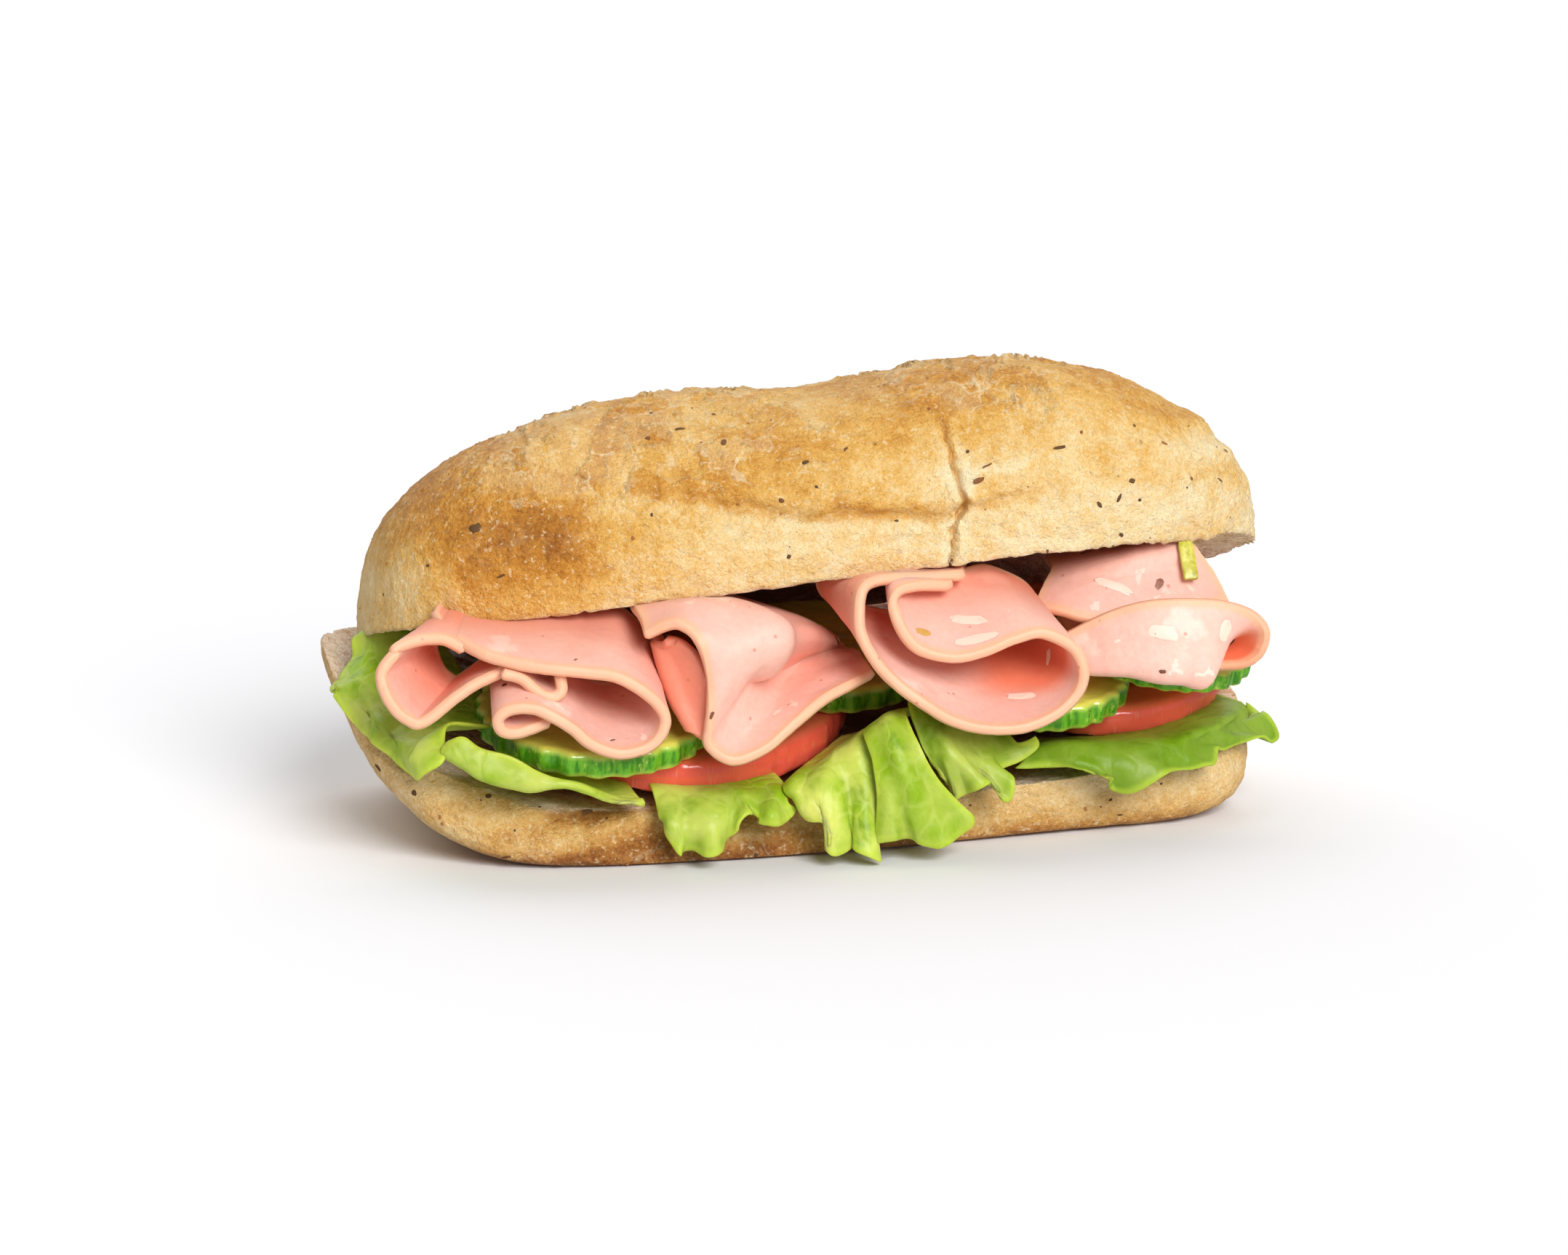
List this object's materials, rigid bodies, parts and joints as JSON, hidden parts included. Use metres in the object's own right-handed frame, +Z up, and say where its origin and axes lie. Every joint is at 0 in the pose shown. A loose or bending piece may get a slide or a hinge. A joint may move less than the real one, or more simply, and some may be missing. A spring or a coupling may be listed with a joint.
{
  "type": "ciabatta sandwich",
  "caption": "Long oval ciabatta roll cut through from the front, open at the front and closed at the back, filled with folded mortadella, cucumber, tomato and lettuce.",
  "frame": {"origin": "middle of the flat underside of the bottom half of the roll", "axes": "+X along the roll to its right end, +Y from the open front to the closed back, +Z up"},
  "size_m": [0.2056, 0.1099, 0.0982],
  "materials": {
    "bread": "matte baked crust, floury cream low down and golden brown on the crown",
    "tomato": "wet, glossy skin",
    "cucumber": "wet flesh with a dark green ridged skin",
    "mortadella": "satin, moist, with pale fat spots",
    "lettuce": "satin, slightly translucent leaf",
    "pickle": "wet"
  },
  "bodies": {
    "root": {"bread_bottom": "bread", "bread_top": "bread", "tomato_left": "tomato", "tomato_right": "tomato", "cucumber_left": "cucumber", "cucumber_middle": "cucumber", "cucumber_right": "cucumber", "cucumber_far_right": "cucumber", "mortadella_left": "mortadella", "mortadella_roll": "mortadella", "mortadella_curl": "mortadella", "mortadella_centre": "mortadella", "mortadella_centre_wall": "mortadella", "mortadella_right_upper": "mortadella", "mortadella_right": "mortadella", "lettuce_left_end": "lettuce", "lettuce_left_front": "lettuce", "lettuce_centre_left": "lettuce", "lettuce_centre": "lettuce", "lettuce_centre_right": "lettuce", "lettuce_centre_back": "lettuce", "lettuce_right": "lettuce", "pickle_strip": "pickle"}
  },
  "joints": []
}
